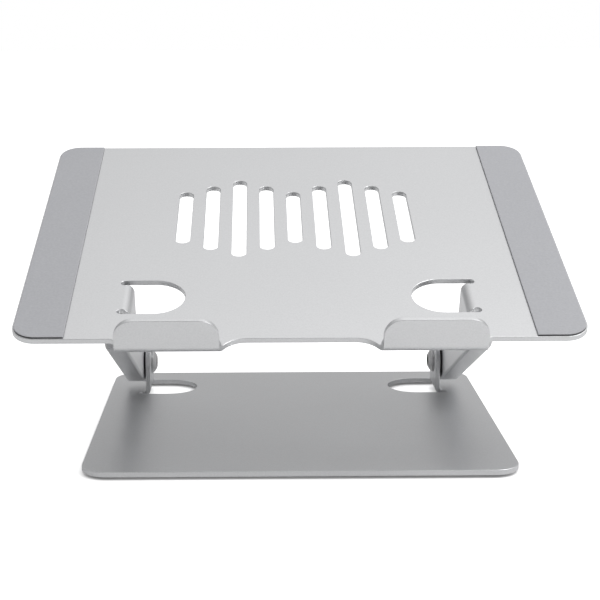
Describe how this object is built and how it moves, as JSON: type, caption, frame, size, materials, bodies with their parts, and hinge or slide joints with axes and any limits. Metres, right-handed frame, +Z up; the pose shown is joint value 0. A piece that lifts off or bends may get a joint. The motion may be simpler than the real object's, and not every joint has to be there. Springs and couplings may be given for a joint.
{
  "type": "laptop stand",
  "caption": "Folding laptop stand: flat base, vented tilting top plate with front lips and side pads, and swinging arms on screw pivots.",
  "frame": {"origin": "on the table, under the middle of the stand's outer box as it stands at rest", "axes": "+X to the stand's right side as the user sees it, +Y to the back, +Z up"},
  "size_m": [0.3, 0.2334, 0.1523],
  "materials": {
    "aluminium": "fine bead-blasted, clear anodised, satin",
    "silicone": "matt grey silicone",
    "steel": "satin nickel plated",
    "nylon": "matt black nylon",
    "foot_rubber": "matt black rubber"
  },
  "bodies": {
    "base": {"base_plate": "aluminium", "foot_front_left": "foot_rubber", "foot_front_right": "foot_rubber", "foot_rear_left": "foot_rubber", "foot_rear_right": "foot_rubber"},
    "arms": {"arm_left": "aluminium", "arm_right": "aluminium", "lower_screw_left": "steel", "lower_screw_right": "steel", "lower_head_washer_left": "steel", "lower_head_washer_right": "steel", "lower_nylon_washer_left": "nylon", "lower_nylon_washer_right": "nylon"},
    "upper_pivots": {"upper_screw_left": "steel", "upper_screw_right": "steel", "upper_head_washer_left": "steel", "upper_head_washer_right": "steel", "upper_nylon_washer_left": "nylon", "upper_nylon_washer_right": "nylon"},
    "top": {"top_plate": "aluminium", "side_pad_left": "silicone", "side_pad_right": "silicone", "lip_pad_left": "silicone", "lip_pad_right": "silicone"}
  },
  "joints": [
    {"name": "arm_lift", "type": "hinge", "parent": "base", "child": "arms", "pos_m": [0, 0.05964, 0.021], "axis": [-1, 0, 0], "range_deg": [-22.7, 52.3]},
    {"name": "pivot_level", "type": "hinge", "parent": "arms", "child": "upper_pivots", "pos_m": [0, -0.05475, 0.06885], "axis": [-1, 0, 0], "range_deg": [-52.3, 22.7]},
    {"name": "top_tilt", "type": "hinge", "parent": "upper_pivots", "child": "top", "pos_m": [0, -0.05475, 0.06885], "axis": [1, 0, 0], "range_deg": [-20, 13]}
  ],
  "couplings": [
    {"joint": "pivot_level", "follows": "arm_lift", "ratio": -1}
  ]
}
